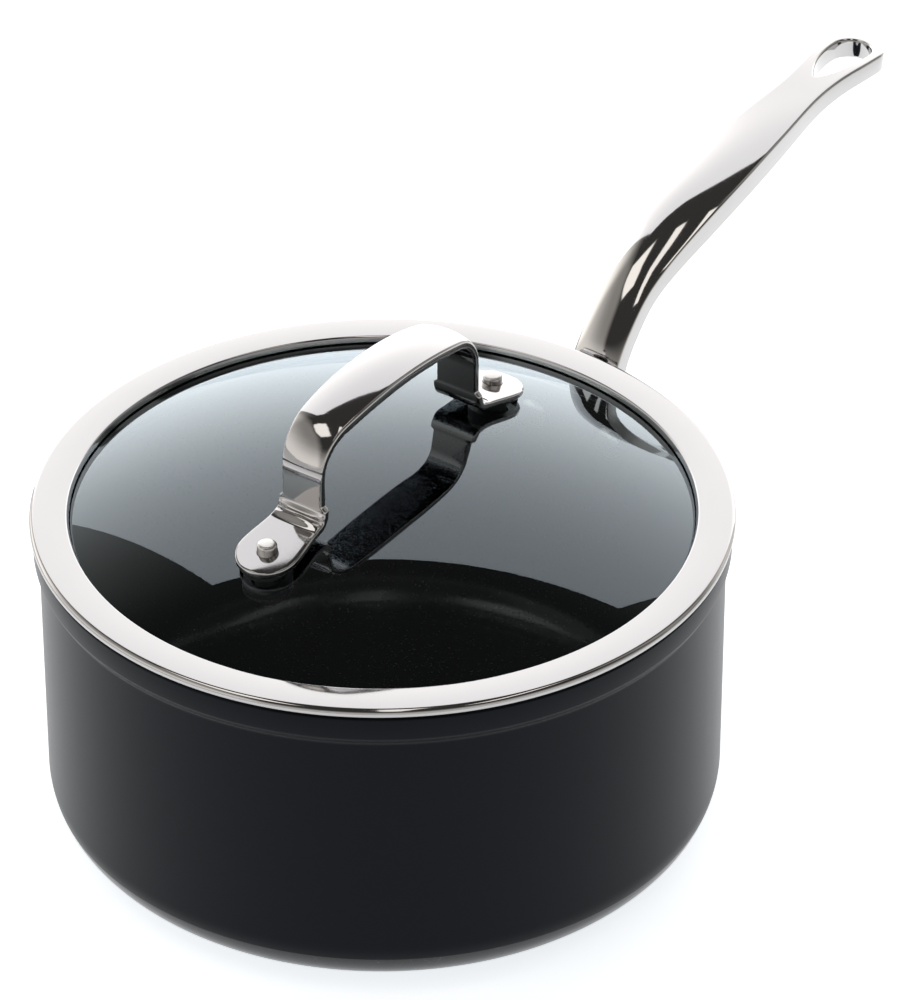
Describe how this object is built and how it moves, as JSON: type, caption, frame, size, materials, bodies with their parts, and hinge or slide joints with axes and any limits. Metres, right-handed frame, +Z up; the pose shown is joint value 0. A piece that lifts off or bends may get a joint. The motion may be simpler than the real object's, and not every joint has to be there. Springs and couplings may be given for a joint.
{
  "type": "saucepan with glass lid",
  "caption": "Straight-walled saucepan with a long arched steel handle and a domed glass lid with a steel ring and a bridge handle.",
  "frame": {"origin": "centre of the pan's base, on the surface it stands on", "axes": "+Z up through the lid, +X along the pan's long handle"},
  "size_m": [0.3751, 0.2122, 0.1561],
  "materials": {
    "hard_anodised": "satin",
    "induction_steel": "satin",
    "polished_steel": "polished",
    "satin_steel": "satin",
    "silicone": "matte",
    "clear_glass": "polished"
  },
  "bodies": {
    "pan": {"pan_body": "hard_anodised", "induction_plate": "induction_steel", "pan_handle": "polished_steel", "handle_rivet_left": "satin_steel", "handle_rivet_right": "satin_steel"},
    "lid": {"lid_glass": "clear_glass", "lid_rim": "polished_steel", "lid_gasket": "silicone", "lid_handle": "polished_steel", "lid_stud_front": "satin_steel", "lid_stud_rear": "satin_steel", "stud_sleeve_front": "silicone", "stud_sleeve_rear": "silicone", "foot_pad_front": "silicone", "foot_pad_rear": "silicone", "glass_washer_front": "silicone", "glass_washer_rear": "silicone", "steel_washer_front": "satin_steel", "steel_washer_rear": "satin_steel"}
  },
  "joints": [
    {"name": "lid_lift", "type": "slide", "parent": "pan", "child": "lid", "axis": [0, 0, 1], "range_m": [0, 0.12]}
  ]
}
